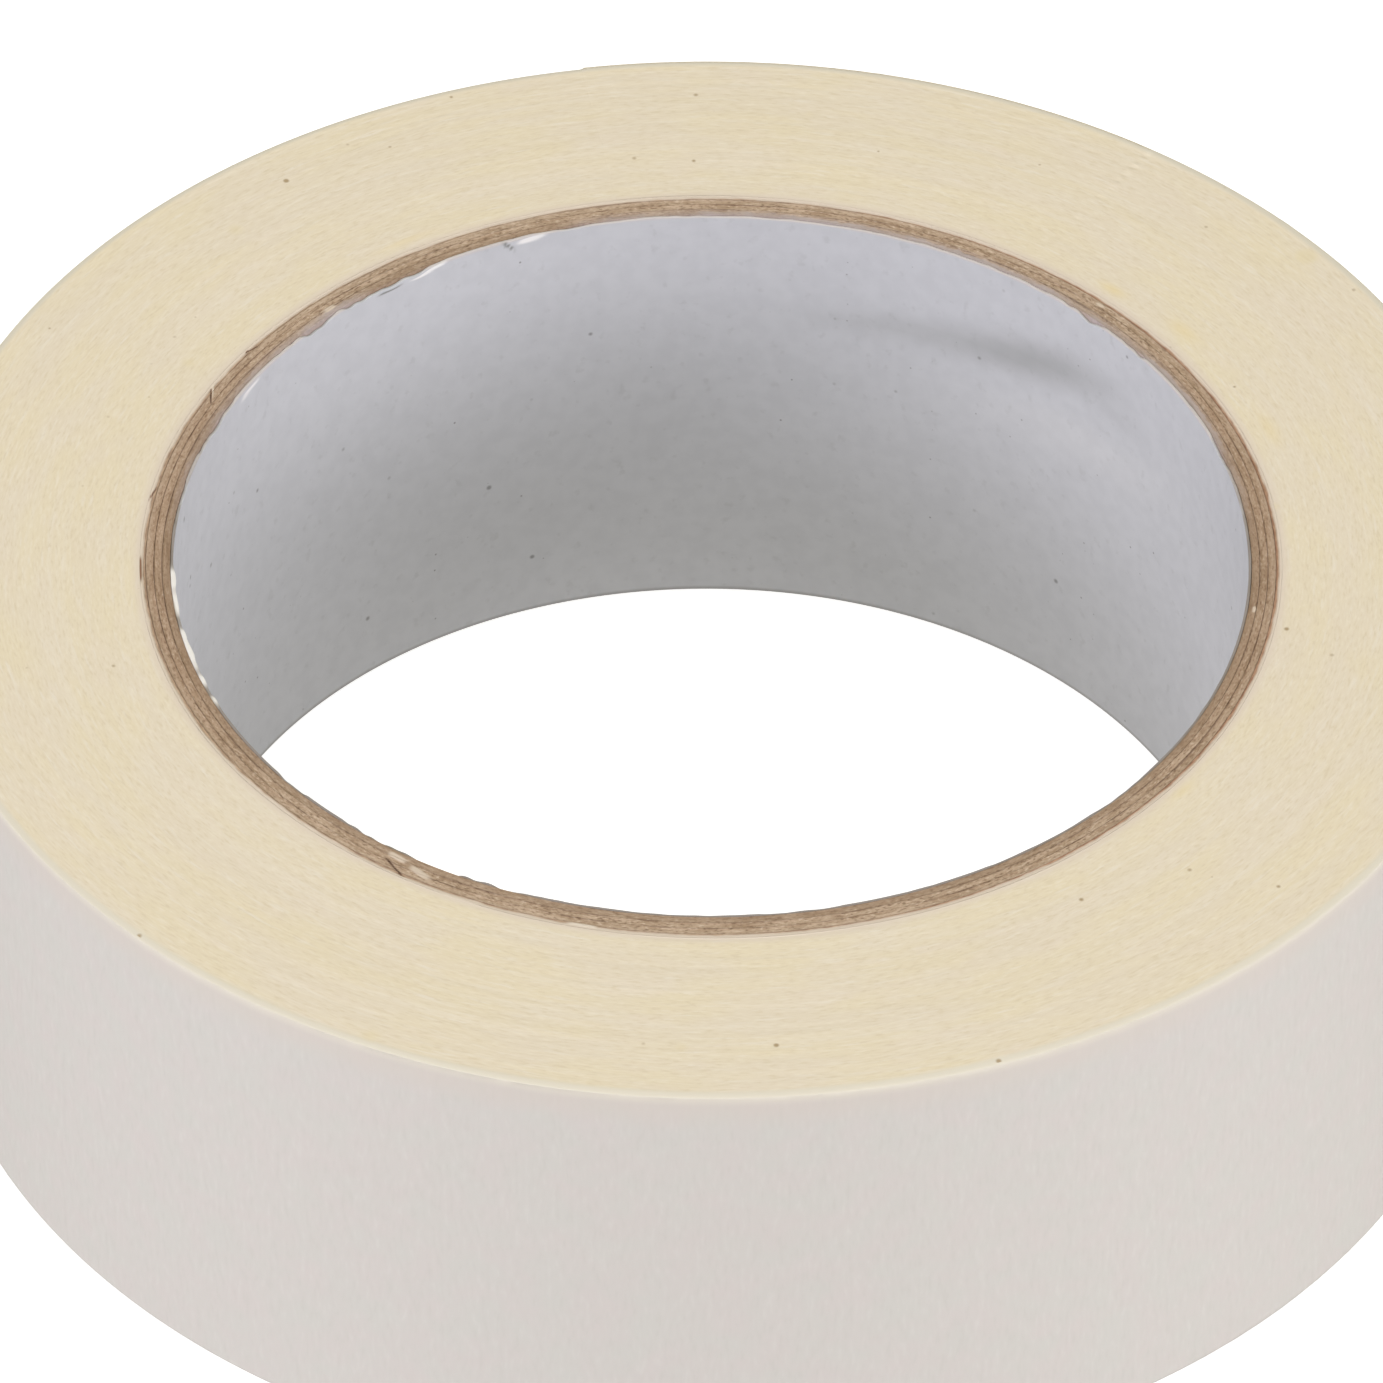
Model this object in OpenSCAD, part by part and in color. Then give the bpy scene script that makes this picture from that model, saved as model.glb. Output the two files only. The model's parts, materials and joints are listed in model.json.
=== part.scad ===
// Roll of crepe paper masking tape on a spiral-wound paper core.
// The roll lies flat: its axis is Z and its lower side face is at z = 0.
// The tape ends in a free end of five links that bend away from the wall of the roll.

/* [Roll] */
// Width of the tape and of the core, which are slit together
roll_w = 36; // [18:1:60]
// Outside diameter of the roll, across the tape's end
roll_d = 113; // [90:1:160]

/* [Core] */
// Bore of the core
core_bore_d = 76.2; // [60:0.1:95]
// Thickness of the white paper liner
liner_t = 0.2; // [0.1:0.05:0.4]
// Thickness of the kraft ply next to the liner
inner_ply_t = 0.55; // [0.3:0.05:0.8]
// Thickness of the kraft ply in the middle of the wall
middle_ply_t = 0.55; // [0.3:0.05:0.8]
// Thickness of the outermost full kraft ply
outer_ply_t = 0.55; // [0.3:0.05:0.8]
// Thickness of the thin ply wrapped round the outside
wrap_t = 0.25; // [0.15:0.05:0.4]
// Thickness of the glue film between two plies
glue_t = 0.03; // [0.01:0.01:0.06]

/* [Tape] */
// Thickness of the crepe paper backing
backing_t = 0.115; // [0.08:0.005:0.2]
// Thickness of the adhesive coat
adhesive_t = 0.03; // [0.02:0.005:0.05]

/* [Free end] */
// Direction in which the cut end of the tape lies, from the X axis
end_angle = 100; // [0:5:355]
// Angle of wall that the free end covers
free_arc = 45; // [20:1:90]
// Gap between the free end's adhesive and the turn under it
lift_gap = 0.05; // [0.02:0.01:0.2]

/* [Hidden] */
$fn = 180;

// Colours
liner_white = [0.80, 0.80, 0.82];
kraft_brown = [0.63, 0.53, 0.45];
kraft_dark = [0.56, 0.47, 0.39];
wrap_brown = [0.58, 0.42, 0.34];
pale_edge = [0.91, 0.87, 0.83];
cut_cream = [0.90, 0.85, 0.75];
crepe_white = [0.84, 0.82, 0.80];
adhesive_cream = [0.93, 0.87, 0.68];

// Radii of the core's plies, each over the glue film on the one inside it
liner_r = core_bore_d / 2;
inner_ply_r = liner_r + liner_t + glue_t;
middle_ply_r = inner_ply_r + inner_ply_t + glue_t;
outer_ply_r = middle_ply_r + middle_ply_t + glue_t;
wrap_r = outer_ply_r + outer_ply_t + glue_t;
core_r = wrap_r + wrap_t;

// The tape winds on as two half circles, whose centres lie half a thickness apart,
// so that each full turn climbs by one thickness and its end stands one step proud
tape_t = backing_t + adhesive_t;
first_turn_r = core_r + tape_t;
back_r = (roll_d - tape_t) / 2;
front_r = back_r + tape_t / 2;
back_x = -tape_t / 4;
front_x = tape_t / 4;
half_turn = 180;
full_turn = 360;

// The free end is a chain of equal links
links = 5;
link_arc = free_arc / links;
peel_angle = full_turn - free_arc;
end_adhesive_r = front_r - tape_t + lift_gap;
end_backing_r = end_adhesive_r + adhesive_t;

// Ring of wall t whose inner radius is r, standing on z = 0
module ring(r, t) {
    difference() {
        cylinder(r = r + t, h = roll_w);
        translate([0, 0, -roll_w / 2]) cylinder(r = r, h = 2 * roll_w);
    }
}

// Band of wall t and inner radius r, from one angle to another, about a centre on the X axis
module band(centre_x, r, t, from, to) {
    translate([centre_x, 0, 0])
        rotate([0, 0, from])
        rotate_extrude(angle = to - from)
        translate([r, 0])
        square([t, roll_w]);
}

// Solid half disc, from one angle through half a turn, about a centre on the X axis
module half_disc(centre_x, r, from) {
    band(centre_x, 0, r, from, from + half_turn);
}

// Turns the tape's own frame, where the cut end lies on +X, into the roll's frame
module at_tape_end() {
    rotate([0, 0, end_angle]) children();
}

// One link of the free end, counted from the wall of the roll towards the cut end
module end_link(number, r, t) {
    from = peel_angle + (number - 1) * link_arc;
    at_tape_end() band(front_x, r, t, from, from + link_arc);
}

module core_liner() {
    color(liner_white) ring(liner_r, liner_t);
}

module core_ply_inner() {
    color(kraft_brown) ring(inner_ply_r, inner_ply_t);
}

module core_ply_middle() {
    color(kraft_dark) ring(middle_ply_r, middle_ply_t);
}

module core_ply_outer() {
    color(kraft_brown) ring(outer_ply_r, outer_ply_t);
}

module core_wrap() {
    color(wrap_brown) ring(wrap_r, wrap_t);
}

// The turn that is stuck to the core
module first_turn() {
    color(pale_edge) ring(core_r, tape_t);
}

// All the turns between the first and the last, stuck to each other
module wound_turns() {
    color(cut_cream)
    difference() {
        at_tape_end() {
            half_disc(back_x, back_r - tape_t, 0);
            half_disc(front_x, front_r - tape_t, half_turn);
        }
        translate([0, 0, -roll_w / 2]) cylinder(r = first_turn_r, h = 2 * roll_w);
    }
}

// The last turn, as far as the line where the free end leaves the wall
module last_turn() {
    color(crepe_white)
    at_tape_end() {
        band(back_x, back_r - tape_t, tape_t, 0, half_turn);
        band(front_x, front_r - tape_t, tape_t, half_turn, peel_angle);
    }
}

module end_backing(number) {
    color(crepe_white) end_link(number, end_backing_r, backing_t);
}

module end_adhesive(number) {
    color(adhesive_cream) end_link(number, end_adhesive_r, adhesive_t);
}

core_liner();
core_ply_inner();
core_ply_middle();
core_ply_outer();
core_wrap();
first_turn();
wound_turns();
last_turn();
end_backing(1);  // end_backing_1
end_backing(2);  // end_backing_2
end_backing(3);  // end_backing_3
end_backing(4);  // end_backing_4
end_backing(5);  // end_backing_5
end_adhesive(1);  // end_adhesive_1
end_adhesive(2);  // end_adhesive_2
end_adhesive(3);  // end_adhesive_3
end_adhesive(4);  // end_adhesive_4
end_adhesive(5);  // end_adhesive_5
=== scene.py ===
"""Looks of the masking tape roll: meshes, materials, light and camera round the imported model.

The roll lies flat on the floor, with its axis on Z. Sizes of the roll are in millimetres until a
mesh is made, and sizes of the floor and the lights are in metres. Angles are in radians, but marks
and lights are placed in degrees. The tape's own angle runs from its cut end once round the roll.
"""
import json
import math

import bpy
import numpy as np
from mathutils import Matrix, Vector


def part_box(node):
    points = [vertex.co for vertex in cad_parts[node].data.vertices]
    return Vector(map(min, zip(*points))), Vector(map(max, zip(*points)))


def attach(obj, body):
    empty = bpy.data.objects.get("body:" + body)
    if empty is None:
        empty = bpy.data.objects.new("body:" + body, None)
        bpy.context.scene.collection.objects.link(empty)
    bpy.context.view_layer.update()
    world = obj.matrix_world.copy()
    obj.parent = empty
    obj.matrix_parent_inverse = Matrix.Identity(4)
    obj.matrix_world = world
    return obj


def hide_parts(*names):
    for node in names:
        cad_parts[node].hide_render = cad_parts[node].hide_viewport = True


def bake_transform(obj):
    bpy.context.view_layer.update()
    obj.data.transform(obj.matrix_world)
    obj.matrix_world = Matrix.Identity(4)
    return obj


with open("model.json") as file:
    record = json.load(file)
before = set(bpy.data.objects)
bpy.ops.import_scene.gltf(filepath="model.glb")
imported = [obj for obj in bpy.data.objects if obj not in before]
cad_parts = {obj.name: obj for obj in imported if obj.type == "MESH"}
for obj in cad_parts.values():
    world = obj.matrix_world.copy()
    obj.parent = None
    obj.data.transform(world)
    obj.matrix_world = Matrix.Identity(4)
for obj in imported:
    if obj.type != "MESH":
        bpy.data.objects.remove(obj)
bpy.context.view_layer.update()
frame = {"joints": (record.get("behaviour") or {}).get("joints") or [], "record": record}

MM = 0.001
TURN = 2 * math.pi


# ---------------------------------------------------------------- sizes from the frame

def outer_radius(node):
    """Outer radius of a round CAD node whose axis is Z."""
    low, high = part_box(node)
    return (high.x - low.x) / 2 / MM


def joint_place(name):
    """Where a joint's axis crosses the XY plane."""
    found = next(j for j in frame["joints"] if j["name"] == name)
    return np.array(found["pos_m"][:2]) / MM


def direction(angle):
    return np.array([math.cos(angle), math.sin(angle)])


def angle_about(centre, place):
    return math.atan2(place[1] - centre[1], place[0] - centre[0])


BORE_R = next(m for m in frame["record"]["mounts"] if m["name"] == "core_bore")["dims"]["r_mm"]
LINER_R = outer_radius("core_liner")
PLY_NODES = ("core_ply_inner", "core_ply_middle", "core_ply_outer")
PLY_R = [outer_radius(node) for node in PLY_NODES]
WRAP_R = outer_radius("core_wrap")
FIRST_TURN_R = outer_radius("first_turn")
TAPE_T = FIRST_TURN_R - WRAP_R
# The glue film between two plies and the adhesive coat are as thick as in the CAD
GLUE_T = 0.03
ADHESIVE_T = 0.03
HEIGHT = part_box("core_liner")[1].z / MM

# The last turn is two half circles, whose centres lie to either side of the axis on the line
# through the cut end. Its free end is a chain of equal links, from the peel line to the cut end.
# Angles about the axis are near enough to place the front centre, and those about it are exact.
LINKS = ["peel", "bend_2", "bend_3", "bend_4", "bend_5"]
LINK_ANGLES = [angle_about((0, 0), joint_place(name)) for name in LINKS]
LINK_ARC = LINK_ANGLES[1] - LINK_ANGLES[0]
END_ANGLE = LINK_ANGLES[-1] + LINK_ARC
FRONT_CENTRE = TAPE_T / 4 * direction(END_ANGLE)
LINK_ANGLES = [angle_about(FRONT_CENTRE, joint_place(name)) for name in LINKS]
LINK_ARC = (LINK_ANGLES[-1] - LINK_ANGLES[0]) / (len(LINKS) - 1)
END_ANGLE = LINK_ANGLES[-1] + LINK_ARC
FREE_ARC = LINK_ARC * len(LINKS)
PEEL_AT = TURN - FREE_ARC
BACK_R = outer_radius("last_turn") - TAPE_T / 4
FRONT_R = BACK_R + TAPE_T / 2
# How far the free end stands off the wall at rest. It lies closer than its links in the CAD.
LIFT_GAP = 0.015


def wall_radius(tape_angle):
    """Radius of the last turn's outside, by the angle from the cut end."""
    angle = np.mod(tape_angle, TURN)
    back = angle < math.pi
    shift = np.where(back, -TAPE_T / 4, TAPE_T / 4)
    radius = np.where(back, BACK_R, FRONT_R)
    return shift * np.cos(angle) + np.sqrt(radius ** 2 - (shift * np.sin(angle)) ** 2)


# ---------------------------------------------------------------- meshes

def smooth_noise(rows, columns, row_blur, column_blur, seed):
    """Random field of mean 0 and spread 1 that joins up round both its edges."""
    white = np.random.default_rng(seed).standard_normal((rows, columns))
    row_wave = np.fft.fftfreq(rows)[:, None] * row_blur
    column_wave = np.fft.rfftfreq(columns)[None, :] * column_blur
    kept = np.exp(-2 * math.pi ** 2 * (row_wave ** 2 + column_wave ** 2))
    kept[0, 0] = 0
    field = np.fft.irfft2(np.fft.rfft2(white) * kept, s=(rows, columns))
    return field / field.std()


def slanted(field, columns_per_row):
    """Shifts each row round by a little more than the one before."""
    moved = [np.roll(row, round(i * columns_per_row)) for i, row in enumerate(field)]
    return np.array(moved)


def even(steps):
    return np.linspace(0, 1, steps + 1)


def held(shares, gap):
    """Adds a share close to each end of a run, which keeps the shading flat up to the corner."""
    return np.concatenate([[0, gap], shares[1:-1], [1 - gap, 1]])


def fine_ends(steps):
    """Shares of a run that are close together at both ends."""
    return (1 - np.cos(math.pi * even(steps))) / 2


class Section:
    """Points round the section of a ring, from its outer bottom corner up the outside. Each side
    is a list of shares of its run, and the inner and outer corners each have a rounding."""

    ARC_STEPS = 3

    def __init__(self, inner, outer, rounding, outside, top, inside, bottom):
        by_wall, by_core = rounding
        low, high = 0.0, HEIGHT
        runs = [
            ("outside", (outer, low), (outer, high), outside, by_wall, by_wall),
            ("top", (outer, high), (inner, high), top, by_wall, by_core),
            ("inside", (inner, high), (inner, low), inside, by_core, by_core),
            ("bottom", (inner, low), (outer, low), bottom, by_core, by_wall),
        ]
        place, normal, side = [], [], []
        for index, (name, start, end, shares, before, after) in enumerate(runs):
            start, end = np.array(start, float), np.array(end, float)
            along = (end - start) / np.linalg.norm(end - start)
            start, end = start + along * before, end - along * after
            facing = index * math.pi / 2
            for share in shares:
                place.append(start + (end - start) * share)
                normal.append(direction(facing))
                side.append(name)
            centre = end - direction(facing) * after
            for step in range(1, self.ARC_STEPS if after else 0):
                turned = direction(facing + step / self.ARC_STEPS * math.pi / 2)
                place.append(centre + turned * after)
                normal.append(turned)
                side.append("corner")
        self.r, self.z = (column[:, None] for column in np.array(place).T)
        self.normal_r, self.normal_z = (column[:, None] for column in np.array(normal).T)
        self.side = np.array(side)
        self.rows = len(place)
        self.inner, self.outer = inner, outer

    def spread(self, side, field):
        """Lays a field with a row for each of a side's points over the whole section."""
        whole = np.zeros((self.rows, field.shape[1]))
        whole[self.side == side] = field
        return whole


def smooth_step(value, low, high):
    """0 where value is low, 1 where it is high, and smooth between. low may be above high."""
    share = np.clip((value - low) / (high - low), 0, 1)
    return share ** 2 * (3 - 2 * share)


def band_mesh(r, z, angles, closed):
    """Vertices and faces of a section swept round Z. r and z have a row for each point of the
    section and a column for each angle. No point leaves the height of the roll."""
    rows, columns = r.shape
    x, y = r * np.cos(angles), r * np.sin(angles)
    z = np.clip(z + 0 * x, 0, HEIGHT)
    vertices = np.stack([x, y, z], axis=-1).reshape(-1, 3)
    row = np.arange(rows)[:, None]
    column = np.arange(columns if closed else columns - 1)[None, :]
    next_row, next_column = (row + 1) % rows, (column + 1) % columns
    corners = [
        row * columns + column,
        row * columns + next_column,
        next_row * columns + next_column,
        next_row * columns + column,
    ]
    faces = np.stack(corners, axis=-1).reshape(-1, 4).tolist()
    if not closed:
        first = (np.arange(rows) * columns).tolist()
        last = (np.arange(rows) * columns + columns - 1).tolist()
        faces += [first, last[::-1]]
    return vertices, faces


def make_piece(name, vertices, faces, material, nodes, body=None, marks=None):
    """A mesh piece that stands for some CAD nodes. It rides on a body, if one is given.
    Marks are a tone for each vertex. Its material has a colour for those above 0, such as torn paper
    or a stain, and a dark one, which paints shade, for those below 0."""
    mesh = bpy.data.meshes.new(name)
    mesh.from_pydata((vertices * MM).tolist(), [], faces)
    mesh.validate()
    mesh.shade_smooth()
    rest = mesh.attributes.new("rest", "FLOAT_VECTOR", "POINT")
    rest.data.foreach_set("vector", vertices.astype(np.float32).ravel())
    if marks is not None:
        tone = mesh.attributes.new("mark", "FLOAT", "POINT")
        tone.data.foreach_set("value", marks.astype(np.float32).ravel())
    mesh.materials.append(material)
    piece = bpy.data.objects.new(name, mesh)
    bpy.context.scene.collection.objects.link(piece)
    if body:
        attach(piece, body)
    if nodes:
        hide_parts(*nodes)
    return piece


# ---------------------------------------------------------------- materials

MEAN_R = 48.0
# Sizes of blotches that hardly change in one direction over the whole roll
LONG, TALL = 50, 30


class Shader:
    """A Principled material, and short ways to add the nodes that feed it."""

    def __init__(self, name, roughness, specular):
        self.material = bpy.data.materials.new(name)
        self.material.use_nodes = True
        self.tree = self.material.node_tree
        self.surface = self.tree.nodes["Principled BSDF"]
        self.surface.inputs["Roughness"].default_value = roughness
        self.surface.inputs["Specular IOR Level"].default_value = specular
        rest = self.add("ShaderNodeAttribute", attribute_name="rest").outputs["Vector"]
        split = self.add("ShaderNodeSeparateXYZ", {0: rest})
        self.x, self.y, self.z = split.outputs
        self.r = self.maths("SQRT", self.maths("ADD", self.square(self.x), self.square(self.y)))
        self.cos = self.maths("DIVIDE", self.x, self.r)
        self.sin = self.maths("DIVIDE", self.y, self.r)

    def add(self, kind, inputs=None, **settings):
        node = self.tree.nodes.new(kind)
        for name, value in settings.items():
            setattr(node, name, value)
        for socket, value in (inputs or {}).items():
            self.feed(node.inputs[socket], value)
        return node

    def feed(self, socket, value):
        if isinstance(value, bpy.types.NodeSocket):
            self.tree.links.new(value, socket)
        else:
            socket.default_value = value

    def maths(self, operation, *values):
        return self.add("ShaderNodeMath", dict(enumerate(values)), operation=operation).outputs[0]

    def square(self, value):
        return self.maths("MULTIPLY", value, value)

    def ramp(self, value, low, high, most=1.0):
        """0 where value is low, most where it is high, and smooth between. low may be above high."""
        inputs = {"Value": value, "From Min": low, "From Max": high, "To Max": most}
        node = self.add("ShaderNodeMapRange", inputs, interpolation_type="SMOOTHSTEP")
        return node.outputs["Result"]

    def grain(self, around, radial, upward, detail=2.0, offset=0.0):
        """Noise from 0 to 1 whose blotches are these sizes, in mm: around the roll's axis, along
        the radius and along the axis. It joins up all the way round."""
        flat = [self.maths("MULTIPLY", c, MEAN_R / around) for c in (self.cos, self.sin)]
        height = self.maths("MULTIPLY", self.z, 1 / upward)
        depth = self.maths("MULTIPLY_ADD", self.r, 1 / radial, offset)
        vector = self.add("ShaderNodeCombineXYZ", {0: flat[0], 1: flat[1], 2: height})
        inputs = {"Vector": vector.outputs[0], "W": depth, "Scale": 1.0, "Detail": detail}
        node = self.add("ShaderNodeTexNoise", inputs, noise_dimensions="4D")
        return node.outputs[0]

    def specks(self, spacing, size, share, offset=0.0):
        """1 in small spots up to about this size, in mm. A share of the cells, which are about
        as far apart as the spacing, has one."""
        place = self.add("ShaderNodeCombineXYZ", {0: self.x, 1: self.y, 2: self.z})
        moved = self.add("ShaderNodeVectorMath", {0: place.outputs[0], 1: (offset,) * 3})
        inputs = {"Vector": moved.outputs[0], "Scale": 1 / spacing}
        cells = self.add("ShaderNodeTexVoronoi", inputs)
        chosen = self.add("ShaderNodeSeparateColor", {0: cells.outputs["Color"]})
        reach = self.maths("MULTIPLY", chosen.outputs[1], size / spacing)
        beyond = self.maths("SUBTRACT", cells.outputs["Distance"], reach)
        near = self.ramp(beyond, 0, -0.6 * size / spacing)
        return self.maths("MULTIPLY", near, self.maths("LESS_THAN", chosen.outputs[0], share))

    def blend(self, share, first, second):
        """Colour that goes from the first to the second as share goes from 0 to 1."""
        colours = {6: first, 7: second}
        colours = {k: (*c, 1) if isinstance(c, tuple) else c for k, c in colours.items()}
        node = self.add("ShaderNodeMix", {0: share, **colours}, data_type="RGBA")
        return node.outputs[2]

    def marked(self, colour, pale, dark):
        """Adds the marks that the mesh carries, in one colour for each sign of their tone."""
        tone = self.add("ShaderNodeAttribute", attribute_name="mark").outputs["Fac"]
        colour = self.blend(self.ramp(tone, 0.0, 0.8), colour, pale)
        return self.blend(self.ramp(tone, 0.0, -0.8), colour, dark)

    def relief(self, height, depth, under=None):
        """Adds relief of this depth, in mm, to the surface's normal."""
        inputs = {"Height": height, "Distance": depth * MM, "Strength": 1.0}
        if under:
            inputs["Normal"] = under
        return self.add("ShaderNodeBump", inputs).outputs[0]

    def wrap_border(self):
        """0 on the core and 1 on the tape, with the wavy border that shows between them."""
        wave_size, oval_size, from_core, to_tape = 0.35, 0.12, WRAP_R - 0.16, WRAP_R + 0.04
        wave = self.grain(around=2.2, radial=LONG, upward=LONG, detail=3, offset=21)
        wavy_r = self.maths("MULTIPLY_ADD", self.maths("ADD", wave, -0.5), wave_size, self.r)
        oval_r = self.maths("MULTIPLY_ADD", self.square(self.sin), oval_size, wavy_r)
        return self.ramp(oval_r, from_core, to_tape)

    def finish(self, colour, normal):
        self.feed(self.surface.inputs["Base Color"], colour)
        self.feed(self.surface.inputs["Normal"], normal)
        return self.material


# Colour of the rounded rim, where the side face and the wall meet
RIM_COLOUR = (0.705, 0.662, 0.565)


def cut_edge_material():
    """Slit edges of the wound turns: cream, with short faint streaks along the turns and brown
    specks. They are pinker towards the core and greyer towards the wall."""
    cream, yellowish, pinkish = (0.765, 0.685, 0.555), (0.775, 0.69, 0.52), (0.775, 0.685, 0.585)
    white_streak, pale_wisp = (0.81, 0.75, 0.655), (0.795, 0.725, 0.61)
    hollow_shade, crest_highlight = (0.70, 0.61, 0.455), (0.83, 0.76, 0.63)
    core_side, stain_yellow = (0.725, 0.635, 0.545), (0.75, 0.65, 0.40)
    amber, speck_brown = (0.80, 0.655, 0.33), (0.36, 0.26, 0.14)
    s = Shader("cut_edge", roughness=0.85, specular=0.2)
    patches = s.grain(around=9, radial=3, upward=TALL)
    colour = s.blend(s.ramp(patches, 0.35, 0.65), cream, yellowish)
    pink = s.grain(around=4, radial=1.6, upward=TALL, offset=31)
    colour = s.blend(s.ramp(pink, 0.5, 0.75, 0.35), colour, pinkish)
    streaks = s.grain(around=2.4, radial=0.26, upward=TALL, detail=2, offset=3)
    colour = s.blend(s.ramp(streaks, 0.52, 0.78, 0.75), colour, white_streak)
    bands = s.grain(around=22, radial=0.7, upward=TALL, offset=41)
    colour = s.blend(s.ramp(bands, 0.5, 0.72, 0.5), colour, pale_wisp)
    fine = s.grain(around=0.7, radial=0.16, upward=TALL, detail=2, offset=11)
    # Painted shade in the hollows and painted highlight on the crests of the fine ridges that the
    # relief raises
    colour = s.blend(s.ramp(fine, 0.5, 0.25, 0.75), colour, hollow_shade)
    colour = s.blend(s.ramp(fine, 0.5, 0.75, 0.6), colour, crest_highlight)
    by_core = s.ramp(s.r, FIRST_TURN_R + 0.8, FIRST_TURN_R - 0.2)
    colour = s.blend(by_core, colour, core_side)
    by_rim = s.ramp(s.r, BACK_R - 0.75, BACK_R - 0.25)
    colour = s.blend(by_rim, colour, RIM_COLOUR)
    stains = s.specks(3, 1.3, 0.1, offset=5)
    colour = s.blend(s.maths("MULTIPLY", stains, 0.4), colour, stain_yellow)
    specks = s.maths("MULTIPLY", s.specks(1.5, 0.32, 0.13), 0.85)
    colour = s.blend(specks, colour, speck_brown)
    colour = s.marked(colour, amber, speck_brown)
    normal = s.relief(fine, 0.006, s.relief(streaks, 0.006))
    return s.finish(colour, normal)


def crepe_material():
    """Outside of the paper backing: greyish white, with fine creases across the tape. It is warmer
    towards its upper edge, and painted a little grey at its lower one, as shade where it meets the
    floor."""
    pinkish, greenish = (0.618, 0.578, 0.543), (0.602, 0.588, 0.543)
    crest_highlight, hollow_shade = (0.655, 0.635, 0.592), (0.56, 0.54, 0.495)
    warm, bottom_shade = (0.635, 0.575, 0.513), (0.50, 0.49, 0.455)
    s = Shader("crepe_backing", roughness=0.7, specular=0.25)
    blotches = s.grain(around=2.5, radial=LONG, upward=2.5)
    colour = s.blend(s.ramp(blotches, 0.25, 0.75), pinkish, greenish)
    creases = s.grain(around=0.32, radial=LONG, upward=1.3, detail=3)
    # Painted highlight on the crests and painted shade in the hollows of the creases
    colour = s.blend(s.ramp(creases, 0.5, 0.8, 0.5), colour, crest_highlight)
    colour = s.blend(s.ramp(creases, 0.5, 0.25, 0.4), colour, hollow_shade)
    by_edge = s.ramp(s.z, HEIGHT - 3.5, HEIGHT - 0.8, 0.6)
    colour = s.blend(by_edge, colour, warm)
    colour = s.blend(s.ramp(s.z, HEIGHT - 1, HEIGHT), colour, RIM_COLOUR)
    # Painted shade: greyer along the lower edge, where the wall meets the floor
    colour = s.blend(s.ramp(s.z, 0.35, 0.0, 0.6), colour, bottom_shade)
    return s.finish(colour, s.relief(creases, 0.015))


def pale_edge_material():
    """Slit edge of the turn next to the core, which is paler and a little pink."""
    pinkish, cream, wrap_brown = (0.70, 0.605, 0.51), (0.75, 0.66, 0.56), (0.42, 0.26, 0.17)
    flake, mark_shade = (0.80, 0.74, 0.64), (0.28, 0.16, 0.10)
    s = Shader("pale_edge", roughness=0.8, specular=0.2)
    mottle = s.grain(around=3, radial=0.3, upward=TALL)
    colour = s.blend(s.wrap_border(), wrap_brown, s.blend(mottle, pinkish, cream))
    # Dark marks are painted shade in nicks and beside lifted flakes
    colour = s.marked(colour, flake, mark_shade)
    return s.finish(colour, s.relief(mottle, 0.01))


def kraft_material():
    """Cut board: brown fibres along the ply, with broken glue lines and an inner border that is
    frayed and mauve at the back of the roll, but for one brown stretch."""
    dark_clump, pale_clump = (0.40, 0.285, 0.195), (0.535, 0.405, 0.30)
    pale_fibre, dark_fibre, glue = (0.68, 0.56, 0.44), (0.23, 0.155, 0.10), (0.19, 0.12, 0.08)
    deep_brown, worn_brown = (0.34, 0.21, 0.14), (0.56, 0.45, 0.35)
    brown_bruise, mauve_bruise = (0.29, 0.20, 0.135), (0.42, 0.35, 0.335)
    fray, flake, mark_shade = (0.48, 0.42, 0.42), (0.66, 0.56, 0.46), (0.12, 0.07, 0.05)
    border_rise, brown_cos = 0.7, -0.465
    s = Shader("kraft_board", roughness=0.9, specular=0.15)
    clumps = s.grain(around=2.6, radial=0.4, upward=3, detail=3)
    colour = s.blend(s.ramp(clumps, 0.32, 0.68), dark_clump, pale_clump)
    fibres = s.grain(around=0.42, radial=0.13, upward=0.4, detail=3, offset=5)
    colour = s.blend(s.ramp(fibres, 0.52, 0.72, 0.8), colour, pale_fibre)
    colour = s.blend(s.ramp(fibres, 0.48, 0.32, 0.85), colour, dark_fibre)
    gaps = s.grain(around=3.5, radial=0.8, upward=TALL, detail=4, offset=17)
    broken = s.ramp(gaps, 0.48, 0.62, 0.5)
    for ply in PLY_R:
        off = s.maths("ABSOLUTE", s.maths("SUBTRACT", s.r, ply + GLUE_T / 2))
        line = s.maths("MULTIPLY", s.ramp(off, 0.10, 0.02), broken)
        colour = s.blend(line, colour, glue)
    colour = s.blend(s.ramp(s.square(s.cos), 0.45, 1.0, 0.3), colour, deep_brown)
    from_brown = s.maths("ABSOLUTE", s.maths("SUBTRACT", s.cos, brown_cos))
    mauve = s.maths("MULTIPLY", s.ramp(s.sin, 0, 0.6), s.ramp(from_brown, 0.16, 0.28))
    by_liner = s.ramp(s.r, LINER_R + 1.0, LINER_R, 0.55)
    colour = s.blend(by_liner, colour, s.blend(mauve, brown_bruise, mauve_bruise))
    by_tape = s.ramp(s.r, WRAP_R - 0.75, WRAP_R - 0.1, 0.35)
    colour = s.blend(by_tape, colour, worn_brown)
    patches = s.grain(around=9, radial=LONG, upward=LONG, detail=4, offset=13)
    frays = s.maths("MULTIPLY", s.ramp(patches, 0.38, 0.52), mauve)
    teeth = s.grain(around=0.8, radial=LONG, upward=LONG, offset=9)
    reach = s.maths("MULTIPLY_ADD", teeth, border_rise, LINER_R + 0.05)
    border = s.ramp(s.maths("SUBTRACT", s.r, reach), 0.12, -0.12, 0.75)
    colour = s.blend(s.maths("MULTIPLY", border, frays), colour, fray)
    # Dark marks are painted shade in nicks and beside lifted flakes
    colour = s.marked(colour, flake, mark_shade)
    normal = s.relief(fibres, 0.05, s.relief(clumps, 0.05))
    return s.finish(colour, normal)


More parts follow.
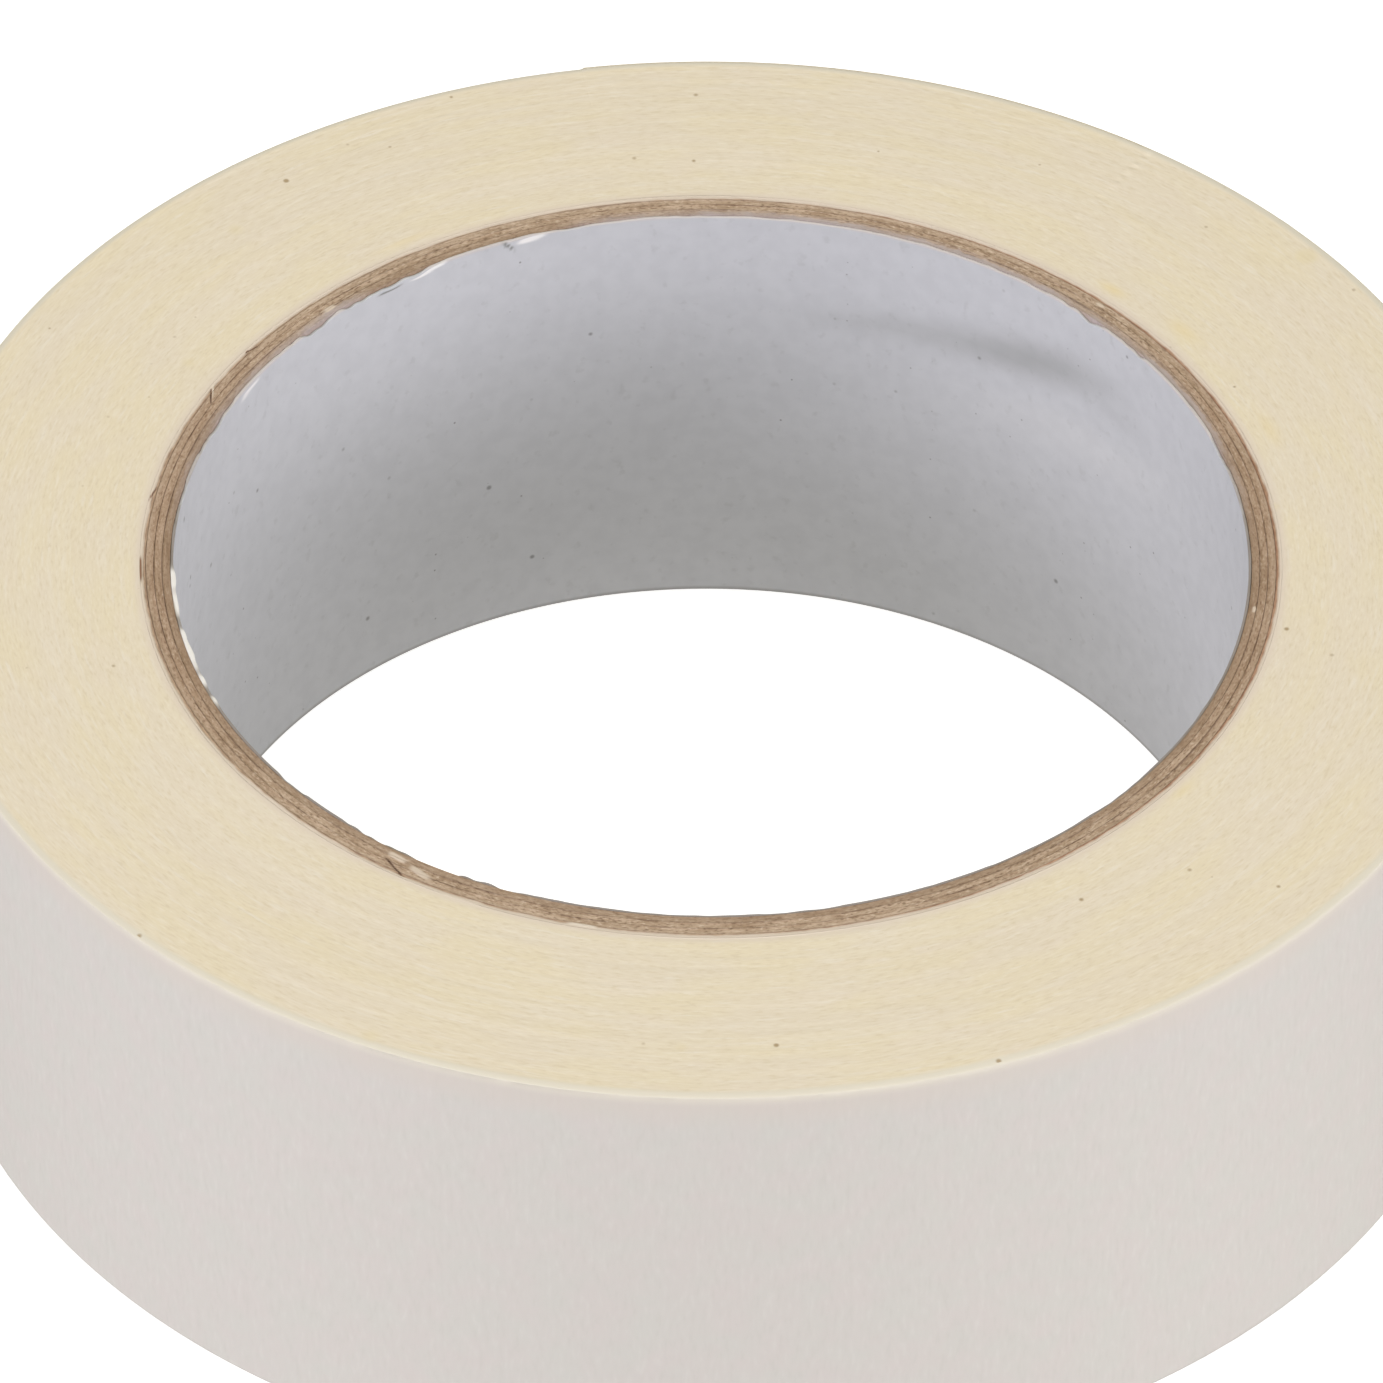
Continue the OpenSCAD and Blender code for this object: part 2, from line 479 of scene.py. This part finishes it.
def wrap_material():
    """The thin outer ply of the core, which is redder than the others on the right of the roll
    and as brown as they are on the left."""
    dark_red, pale_red = (0.31, 0.165, 0.105), (0.50, 0.32, 0.215)
    dark_brown, pale_brown = (0.32, 0.215, 0.15), (0.53, 0.385, 0.27)
    tape_cream, flake, mark_shade = (0.69, 0.60, 0.51), (0.74, 0.66, 0.56), (0.16, 0.09, 0.06)
    s = Shader("wrap_paper", roughness=0.85, specular=0.2)
    fibres = s.grain(around=0.9, radial=0.1, upward=0.6, detail=3)
    red = s.blend(s.ramp(fibres, 0.3, 0.7), dark_red, pale_red)
    brown = s.blend(s.ramp(fibres, 0.3, 0.7), dark_brown, pale_brown)
    paper = s.blend(s.ramp(s.cos, -0.1, 0.6), brown, red)
    colour = s.blend(s.wrap_border(), paper, tape_cream)
    # Dark marks are painted shade in nicks and beside lifted flakes
    colour = s.marked(colour, flake, mark_shade)
    return s.finish(colour, s.relief(fibres, 0.03))


def liner_material():
    """White paper liner of the core: matt, faintly mottled and blotted, with a few dark specks, and
    painted darker along its lower edge, as shade where it sits on the floor.
    Its upper edge is painted dark brown in front, as shade where it turns away into the bore, and pale
    at the back."""
    grey, pale_grey = (0.533, 0.538, 0.56), (0.563, 0.568, 0.59)
    speck_grey, blot_grey = (0.16, 0.155, 0.15), (0.42, 0.42, 0.43)
    front_edge_shade, back_edge, lower_shade = (0.24, 0.20, 0.17), (0.60, 0.55, 0.53), (0.30, 0.29, 0.28)
    flake, soft_shade = (0.86, 0.84, 0.82), (0.25, 0.25, 0.24)
    s = Shader("liner_paper", roughness=0.65, specular=0.25)
    mottle = s.grain(around=1.6, radial=LONG, upward=1.2, detail=3)
    colour = s.blend(s.ramp(mottle, 0.3, 0.7), grey, pale_grey)
    specks = s.maths("MAXIMUM", s.specks(1.5, 0.34, 0.1), s.specks(0.8, 0.13, 0.2, offset=3))
    colour = s.blend(s.maths("MULTIPLY", specks, 0.7), colour, speck_grey)
    blots = s.grain(around=1.0, radial=LONG, upward=0.8, detail=3, offset=7)
    colour = s.blend(s.ramp(blots, 0.58, 0.74, 0.35), colour, blot_grey)
    # Painted shade: the upper edge is dark in front, where it turns away into the bore
    upper_edge = s.blend(s.ramp(s.sin, 0.0, 0.4), front_edge_shade, back_edge)
    colour = s.blend(s.ramp(s.z, HEIGHT - 0.30, HEIGHT - 0.08, 0.8), colour, upper_edge)
    # Painted shade: darker along the lower edge, where the liner sits on the floor
    colour = s.blend(s.ramp(s.z, 0.45, 0.05, 0.75), colour, lower_shade)
    # Pale marks are white flakes, the white lip and one patch of painted light; dark marks are painted
    # shade
    colour = s.marked(colour, flake, soft_shade)
    return s.finish(colour, s.relief(mottle, 0.006))


def adhesive_material():
    """Adhesive coat: cream yellow, tacky and slightly glossy, over the crepe of its backing."""
    cream, pale_cream, crest_highlight = (0.73, 0.65, 0.48), (0.77, 0.69, 0.53), (0.79, 0.735, 0.61)
    s = Shader("adhesive", roughness=0.38, specular=0.5)
    creases = s.grain(around=0.5, radial=LONG, upward=3.5, detail=3)
    patches = s.grain(around=4, radial=LONG, upward=6, detail=3)
    colour = s.blend(s.ramp(patches, 0.3, 0.7), cream, pale_cream)
    # Painted highlight on the crests of the creases
    colour = s.blend(s.ramp(creases, 0.45, 0.75, 0.4), colour, crest_highlight)
    return s.finish(colour, s.relief(creases, 0.03))


CUT_EDGE = cut_edge_material()
CREPE = crepe_material()
PALE_EDGE = pale_edge_material()
KRAFT = kraft_material()
WRAP = wrap_material()
LINER = liner_material()
ADHESIVE = adhesive_material()


# ---------------------------------------------------------------- the core

class Mark:
    """A torn or dark spot: an oval at an angle, in degrees, and a place across, in mm. A slope
    turns the oval: it is how far the spot moves across for each mm along. The power is low for a
    spot that fades softly."""

    def __init__(self, angle, across, length, width, tone, slope=0.0, power=4):
        self.angle, self.across, self.length, self.width = math.radians(angle), across, length, width
        self.tone, self.slope, self.power = tone, slope, power

    def tones(self, angles, across, radius):
        """Tone at each place, for angles along the columns and places across along the rows."""
        along = np.angle(np.exp(1j * (angles - self.angle))) * radius
        over = across - self.across - self.slope * along
        far = np.abs(along / self.length) ** self.power + np.abs(over / self.width) ** self.power
        return self.tone * np.exp(-far)


# Torn spots, and dark spots of painted shade in nicks and beside lifted flakes, on the upper edges of
# the plies, placed by their radius
EDGE_MARKS = [
    Mark(236.4, 38.85, 0.75, 0.22, 1.0, slope=0.1),
    Mark(239.6, 39.35, 0.9, 0.26, 0.9, slope=0.25),
    Mark(236.9, 39.75, 1.1, 0.07, -1.0, slope=0.45),
    Mark(257.5, 40.15, 1.0, 0.14, 0.9),
    Mark(44.9, 39.75, 0.35, 0.13, 1.0),
    Mark(351.6, 38.75, 0.3, 0.12, 1.0),
    Mark(135.6, 38.85, 0.5, 0.2, 1.0),
    Mark(153.6, 40.1, 0.7, 0.07, 0.9, slope=-0.5),
    Mark(154.4, 39.95, 0.8, 0.07, -0.9, slope=-0.5),
    Mark(182.8, 40.42, 1.3, 0.10, -1.0),
    Mark(146.0, 40.2, 0.6, 0.07, -0.8, slope=0.3),
    Mark(171.0, 40.3, 0.8, 0.08, -0.7, slope=0.2),
]
# Soft dark patches of painted shade where the wall is dented, one soft pale patch of painted light,
# white flakes, and dark painted shadows beside the flakes, on the liner's wall, placed by their height
LINER_MARKS = [
    # The first three are painted shade of shallow dents, and the fourth is painted light
    Mark(51, 29.2, 8.5, 2.4, -0.42, slope=-0.2, power=2),
    Mark(70, 27.6, 8.0, 1.6, -0.24, slope=-0.1, power=2),
    Mark(38, 28.0, 3.5, 1.5, -0.22, slope=-0.2, power=2),
    Mark(44, 24.6, 14.0, 3.6, 0.18, slope=-0.12, power=2),
    Mark(122.9, 35.7, 1.5, 0.17, 0.9, slope=-0.11),
    Mark(110.4, 35.7, 1.1, 0.2, 0.9, slope=-0.1),
    Mark(150.8, 35.5, 1.3, 0.2, 0.7, slope=-0.1),
    Mark(127.9, 35.5, 1.1, 0.15, -1.0, slope=0.04),
    Mark(113.0, 35.5, 0.5, 0.22, -0.8, slope=0.9),
]
# Amber stains of glue on the turns near the core, placed by their radius
GLUE_STAINS = [
    Mark(45.8, 41.7, 1.5, 0.6, 0.42, power=2),
    Mark(36.6, 42.4, 1.8, 0.8, 0.34, power=2),
    Mark(19.5, 42.4, 2.2, 0.8, 0.30, power=2),
    Mark(322.6, 41.3, 1.6, 0.6, 0.30, power=2),
    Mark(123.0, 41.6, 3.0, 0.5, 0.30, power=2),
]
# Where the liner's edge is torn up into a white lip, in degrees
LIP_FROM, LIP_TO, LIP_FADE = 181, 207, 5


def full_circle(columns):
    return np.arange(columns) * TURN / columns


def all_tones(marks, angles, across, radius):
    return sum(mark.tones(angles[None, :], across, radius) for mark in marks)


def build_liner():
    """The liner's paper is not quite flat. Its upper edge is ragged, and has a white lip that
    leans into the bore on the left."""
    columns, rows = 1000, 46
    lip_lean, least_edge, most_edge = 0.18, 0.0, 0.6
    section = Section(BORE_R, LINER_R, (0.03, 0.05), even(1), even(2), fine_ends(rows), even(2))
    angles = full_circle(columns)
    wall = slanted(smooth_noise(rows + 1, columns, 5, 26, seed=11), -9) * 0.04
    wall += slanted(smooth_noise(rows + 1, columns, 2.5, 11, seed=12), -9) * 0.006
    wall *= np.sin(math.pi * fine_ends(rows))[:, None] ** 0.5
    ragged = smooth_noise(1, columns, 0, 1.6, seed=13) * 0.07
    ragged += smooth_noise(1, columns, 0, 5, seed=14) * 0.14
    worn = np.clip(0.7 + smooth_noise(1, columns, 0, 40, seed=15), 0.25, 1.6)
    edge = np.clip(0.05 + ragged * worn, least_edge, most_edge)
    near_top = smooth_step(section.z, HEIGHT - 0.9, HEIGHT)
    near_bottom = smooth_step(section.z, 0.9, 0)
    z = section.z - edge * near_top + 0.02 * near_bottom
    degrees = np.degrees(angles)[None, :]
    lip = smooth_step(degrees, LIP_FROM, LIP_FROM + LIP_FADE)
    lip *= smooth_step(degrees, LIP_TO, LIP_TO - LIP_FADE)
    lip *= np.clip(1 + 0.6 * smooth_noise(1, columns, 0, 2.2, seed=16), 0.15, 1.7)
    thick = (LINER_R - section.r) / (LINER_R - BORE_R)
    lean = lip_lean * lip * thick * smooth_step(section.z, HEIGHT - 0.7, HEIGHT)
    r = section.r + section.normal_r * section.spread("inside", wall) - lean
    tones = all_tones(LINER_MARKS, angles, section.z, BORE_R)
    tones = tones + lip * smooth_step(section.z, HEIGHT - 0.5, HEIGHT - 0.15)
    vertices, faces = band_mesh(r, z, angles, closed=True)
    make_piece("liner", vertices, faces, LINER, ["core_liner"], "roll", tones)


def build_ply(name, node, inner, outer, material, roughness, seed):
    """A board ply whose cut edges are fibrous, with torn spots and painted shade beside them on the
    upper one.
    """
    columns, cell, mark_height = 1400, 0.08, 0.07
    across = max(3, round((outer - inner) / cell))
    section = Section(inner, outer, (0.03, 0.03), even(2), even(across), even(2), even(across))
    angles = full_circle(columns)
    depth = np.zeros((section.rows, columns))
    for side in ("top", "bottom"):
        seed += 10
        fibres = smooth_noise(across + 1, columns, 0.6, 4, seed)
        fibres += smooth_noise(across + 1, columns, 1, 1.2, seed + 1)
        clumps = smooth_noise(across + 1, columns, 3, 14, seed + 2)
        depth += section.spread(side, roughness * (0.4 * fibres + 0.7 * clumps - 2))
    corner = (section.side == "corner")[:, None]
    depth += corner * (np.roll(depth, 1, axis=0) + np.roll(depth, -1, axis=0))
    tones = all_tones(EDGE_MARKS, angles, section.r, outer) * (section.z > HEIGHT / 2)
    on_wall = np.isin(section.side, ("inside", "outside"))[:, None]
    depth += mark_height * tones * ~on_wall
    z = section.z + section.normal_z * depth
    vertices, faces = band_mesh(section.r + 0 * depth, z, angles, closed=True)
    make_piece(name, vertices, faces, material, [node], "roll", tones)


build_liner()
for ply, (ply_node, ply_r) in enumerate(zip(PLY_NODES, PLY_R)):
    ply_inner = ([LINER_R] + PLY_R)[ply] + GLUE_T
    ply_name = ply_node.replace("core_", "")
    build_ply(ply_name, ply_node, ply_inner, ply_r, KRAFT, 0.03, 100 * ply)
build_ply("wrap_ply", "core_wrap", PLY_R[-1] + GLUE_T, WRAP_R, WRAP, 0.02, 400)


# ---------------------------------------------------------------- the tape

RIM_WIDTH, RIM_DROP = 0.55, 0.12


def drooped(section, below_wall):
    """Heights of a section whose turns' edges are rounded over towards the wall. below_wall is
    how far its own outside lies inside the wall."""
    from_wall = section.outer - section.r + below_wall
    drop = RIM_DROP * np.clip(1 - from_wall / RIM_WIDTH, 0, 1) ** 2
    middle = HEIGHT / 2
    return middle + (section.z - middle) * (1 - drop / middle)


def build_first_turn():
    """The turn that is stuck to the core. Its edges are a little wavy."""
    columns, sunk = 720, 0.015
    section = Section(WRAP_R, FIRST_TURN_R, (0, 0.03), even(1), even(2), even(1), even(2))
    angles = full_circle(columns)
    wave = smooth_noise(1, columns, 0, 12, seed=31) * 0.006 - sunk
    tones = all_tones(EDGE_MARKS, angles, section.r, WRAP_R) * (section.z > HEIGHT / 2)
    z = section.z + section.normal_z * wave
    vertices, faces = band_mesh(section.r + 0 * z, z, angles, closed=True)
    node = "first_turn"
    make_piece("first_turn_edge", vertices, faces, PALE_EDGE, [node], "roll", tones)


def build_wound_turns():
    """The turns' edges lie almost flush, with low ridges, and droop a little at the rim. Their
    outside steps in by one thickness at the peel line, which leaves room for the stretch of
    the last turn that the free end covers."""
    columns, rows, sunk = 400, 100, 0.02
    step, past_end, hold = 1e-4, 0.001, 0.001
    step_angles = [PEEL_AT - step, PEEL_AT + step, TURN - step, past_end]
    tape_angles = np.sort(np.append(full_circle(columns - len(step_angles)), step_angles))
    shares = held(even(rows), hold)
    section = Section(FIRST_TURN_R, BACK_R - TAPE_T, (0, 0.03), even(1), shares, even(1), shares)
    under_free_end = tape_angles > PEEL_AT
    below_wall = TAPE_T * np.where(under_free_end, 2, 1)
    outer = wall_radius(tape_angles) - below_wall
    stretch = (outer - FIRST_TURN_R)[None, :] / (section.outer - section.inner)
    r = FIRST_TURN_R + (section.r - section.inner) * stretch
    depth = np.zeros((section.rows, columns))
    for side, seed in (("top", 50), ("bottom", 60)):
        ridges = 0.004 * smooth_noise(len(shares), columns, 0.6, 7, seed)
        ridges += 0.004 * smooth_noise(len(shares), columns, 1.2, 3, seed + 1)
        ridges += 0.008 * smooth_noise(len(shares), columns, 8, 24, seed + 2)
        depth += section.spread(side, ridges - sunk)
    depth *= smooth_step(section.outer - section.r, 0, 1.0)
    z = drooped(section, below_wall[None, :]) + section.normal_z * depth
    angles = tape_angles + END_ANGLE
    tones = all_tones(GLUE_STAINS, angles, r, FIRST_TURN_R) * (section.z > HEIGHT / 2)
    vertices, faces = band_mesh(r, z, angles, closed=True)
    make_piece("turns", vertices, faces, CUT_EDGE, ["wound_turns"], "roll", tones)


class Strip:
    """One layer of the tape, from under the free end, once round the roll, to the cut end. It is
    cut into pieces, and its creases carry on from one to the next. A layer has creases if its
    crepe is 1, and is smooth if it is 0."""

    ROWS = 20
    STEP = TURN / 2400

    def __init__(self, name, inner, outer, rounding, crepe):
        steps = round((TURN + FREE_ARC) / self.STEP)
        self.name = name
        self.tape_angles = np.linspace(-FREE_ARC, TURN, steps + 1)
        shares = held(even(self.ROWS), 0.01)
        edge = np.array([0, 0.9, 1])
        self.section = Section(inner, outer, (rounding, 0), shares, edge, even(2), 1 - edge[::-1])
        rows, columns = len(shares), steps + 1
        creases = 0.006 * smooth_noise(rows, columns, 1.6, 1.2, seed=71)
        creases += 0.006 * smooth_noise(rows, columns, 3, 2.4, seed=72)
        creases += 0.016 * smooth_noise(rows, columns, 5, 40, seed=73)
        self.relief = self.section.spread("outside", creases * crepe)

    def cut(self, start, end):
        """Columns from one tape angle to another, both kept."""
        half = self.STEP / 2
        return slice(*np.searchsorted(self.tape_angles, (start - half, end + half)))

    def mesh(self, columns, stack_outer):
        """Stands the strip on the wall. stack_outer is the outer radius of the whole tape."""
        section = self.section
        angles = self.tape_angles[columns]
        below_wall = TAPE_T * (angles < 0) + stack_outer - section.outer
        lift = LIFT_GAP * smooth_step(angles, PEEL_AT, PEEL_AT + math.radians(2))
        outside = wall_radius(angles) - below_wall + lift
        r = section.r + (outside - section.outer)[None, :] + section.normal_r * self.relief[:, columns]
        z = drooped(section, below_wall[None, :])
        return band_mesh(r, z, angles + END_ANGLE, closed=False)


def bend_between(piece):
    """Moves the piece's placement into its mesh. It does not bend the piece."""
    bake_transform(piece)


def build_last_turn():
    """The turn that makes the wall, and the stretch before it that the free end covers."""
    strip = Strip("crepe", FRONT_R - TAPE_T, FRONT_R, 0.06, crepe=1)
    vertices, faces = strip.mesh(strip.cut(-FREE_ARC, PEEL_AT), FRONT_R)
    make_piece("last_turn_crepe", vertices, faces, CREPE, ["last_turn"], "roll")


def build_free_end():
    """Backing and adhesive of the free end, in pieces that meet in the middle of each link."""
    coat_r = FRONT_R - TAPE_T + ADHESIVE_T
    backing = Strip("backing", coat_r, FRONT_R, 0.05, crepe=1)
    coat = Strip("adhesive", FRONT_R - TAPE_T, coat_r, 0.012, crepe=0)
    joints = [PEEL_AT + LINK_ARC * i for i in range(len(LINKS))]
    borders = [PEEL_AT, *(joint + LINK_ARC / 2 for joint in joints), TURN]
    bodies = ["roll"] + [f"free_end_{i + 1}" for i in range(len(LINKS))]
    for strip, material, slot in ((backing, CREPE, "crepe_backing"), (coat, ADHESIVE, "adhesive")):
        for i, (start, end) in enumerate(zip(borders[:-1], borders[1:])):
            vertices, faces = strip.mesh(strip.cut(start, end), FRONT_R)
            node = f"end_{strip.name}_{min(i + 1, len(LINKS))}"
            last = i == len(LINKS)
            body = bodies[-1] if last else None
            name = f"free_{strip.name}_{i + 1}"
            piece = make_piece(name, vertices, faces, material, [node], body)
            if not last:
                bend_between(piece)


build_first_turn()
build_wound_turns()
build_last_turn()
build_free_end()


# ---------------------------------------------------------------- floor, light and camera

FLOOR_GLOW, FLOOR_SHADE = 0.75, 0.6
FLOOR_MIDDLE, FLOOR_REACH, SWEEP_RISE = 1.2, 4.0, 2.5


def build_floor():
    """A white sweep: a round floor whose far rim curves up out of view. It is left out of the
    light that reaches the roll, because the world's lower half stands for what it throws back."""
    around, climb = 64, 8
    rings = [(FLOOR_MIDDLE, 0.0), (FLOOR_REACH, 0.0)]
    for step in range(1, climb + 1):
        angle = step / climb * math.pi / 2
        rings.append((FLOOR_REACH + SWEEP_RISE * math.sin(angle), SWEEP_RISE * (1 - math.cos(angle))))
    corners = [(r * math.cos(a), r * math.sin(a), z) for r, z in rings for a in full_circle(around)]
    faces = [tuple(range(around))]
    for ring in range(len(rings) - 1):
        for i in range(around):
            near, far = ring * around, (ring + 1) * around
            after = (i + 1) % around
            faces.append((near + i, far + i, far + after, near + after))
    mesh = bpy.data.meshes.new("floor")
    mesh.from_pydata(corners, [], faces)
    floor = bpy.data.objects.new("floor", mesh)
    bpy.context.scene.collection.objects.link(floor)
    floor.visible_diffuse = False
    floor.visible_glossy = False
    floor.visible_shadow = False
    material = bpy.data.materials.new("floor")
    material.use_nodes = True
    surface = material.node_tree.nodes["Principled BSDF"]
    surface.inputs["Base Color"].default_value = (FLOOR_SHADE,) * 3 + (1,)
    surface.inputs["Roughness"].default_value = 0.9
    surface.inputs["Specular IOR Level"].default_value = 0.0
    surface.inputs["Emission Color"].default_value = (1, 1, 1, 1)
    surface.inputs["Emission Strength"].default_value = FLOOR_GLOW
    mesh.materials.append(material)


LIGHT_DISTANCE = 1.5


def add_softbox(name, azimuth, elevation, width, height, radiance, colour):
    """An oval soft light that faces the roll. Angles are in degrees, and the azimuth is from the
    X axis. Width and height are half angles as the roll sees them."""
    a, e = math.radians(azimuth), math.radians(elevation)
    light = bpy.data.lights.new(name, "AREA")
    light.shape = "ELLIPSE"
    light.size = 2 * LIGHT_DISTANCE * math.tan(math.radians(width))
    light.size_y = 2 * LIGHT_DISTANCE * math.tan(math.radians(height))
    area = math.pi / 4 * light.size * light.size_y
    light.energy = math.pi * area * radiance
    light.color = colour
    box = bpy.data.objects.new(name, light)
    aim = Vector((0, 0, HEIGHT * MM))
    towards = Vector((math.cos(a) * math.cos(e), math.sin(a) * math.cos(e), math.sin(e)))
    box.location = aim + LIGHT_DISTANCE * towards
    box.rotation_euler = towards.to_track_quat("Z", "Y").to_euler()
    box.visible_camera = False
    bpy.context.scene.collection.objects.link(box)


DOME, BOUNCE, DARK = (1.0, 0.97, 0.82), (0.73, 0.71, 0.68), (0, 0, 0)
WORLD_STRENGTH = 1.05
# Colours by height, from 0 straight down through 0.5 at the horizon to 1 straight up
SKY = [(0.0, BOUNCE), (0.49, BOUNCE), (0.51, DARK), (0.77, DARK), (0.86, DOME)]


def build_world():
    """A dome of soft light overhead, nothing lower down, and the floor's bounce from below."""
    world = bpy.data.worlds.new("studio")
    world.use_nodes = True
    tree = world.node_tree
    place = tree.nodes.new("ShaderNodeTexCoord")
    split = tree.nodes.new("ShaderNodeSeparateXYZ")
    share = tree.nodes.new("ShaderNodeMapRange")
    share.inputs["From Min"].default_value = -1.0
    ramp = tree.nodes.new("ShaderNodeValToRGB")
    while len(ramp.color_ramp.elements) < len(SKY):
        ramp.color_ramp.elements.new(1.0)
    for stop, (position, colour) in zip(ramp.color_ramp.elements, SKY):
        stop.position = position
        stop.color = (*colour, 1)
    background = tree.nodes["Background"]
    background.inputs["Strength"].default_value = WORLD_STRENGTH
    tree.links.new(place.outputs["Generated"], split.inputs[0])
    tree.links.new(split.outputs["Z"], share.inputs["Value"])
    tree.links.new(share.outputs["Result"], ramp.inputs["Fac"])
    tree.links.new(ramp.outputs["Color"], background.inputs["Color"])
    bpy.context.scene.world = world


# Place, angles and lens that bring the roll's outlines onto those in the photo
CAMERA_BACK, CAMERA_UP = 667.63, 605.90
CAMERA_YAW, CAMERA_PITCH, CAMERA_ROLL = -0.0020, 0.7177, 0.0043
CAMERA_LENS, CAMERA_SENSOR = 322.37, 36.0


def build_camera():
    """The camera stands in front of the roll and looks down on it, with a long lens."""
    camera = bpy.data.objects.new("camera", bpy.data.cameras.new("camera"))
    camera.data.sensor_width = CAMERA_SENSOR
    camera.data.lens = CAMERA_LENS
    yaw, pitch, roll = CAMERA_YAW, CAMERA_PITCH, CAMERA_ROLL
    level = math.cos(pitch)
    forward = Vector((math.sin(yaw) * level, math.cos(yaw) * level, -math.sin(pitch)))
    right = Vector((math.cos(yaw), -math.sin(yaw), 0))
    up = right.cross(forward)
    turned_right = math.cos(roll) * right + math.sin(roll) * up
    turned_up = math.cos(roll) * up - math.sin(roll) * right
    axes = Matrix((turned_right, turned_up, -forward)).transposed()
    place = Vector((0, -CAMERA_BACK, CAMERA_UP)) * MM
    camera.matrix_world = Matrix.Translation(place) @ axes.to_4x4()
    camera.data.clip_start, camera.data.clip_end = 0.01, 50
    bpy.context.scene.collection.objects.link(camera)
    bpy.context.scene.camera = camera


build_floor()
build_world()
add_softbox("right_light", 350, 17, 22, 13, 5.0, (1.0, 0.99, 1.05))
add_softbox("left_light", 191, 24, 22, 11, 5.7, (1.0, 0.98, 1.07))
add_softbox("front_light", 259, 12, 22, 11, 4.5, (1.0, 1.0, 1.12))
add_softbox("low_light", 304, 7, 22, 7, 2.4, (1.0, 0.94, 0.98))
build_camera()
bpy.context.scene.view_settings.view_transform = "Standard"
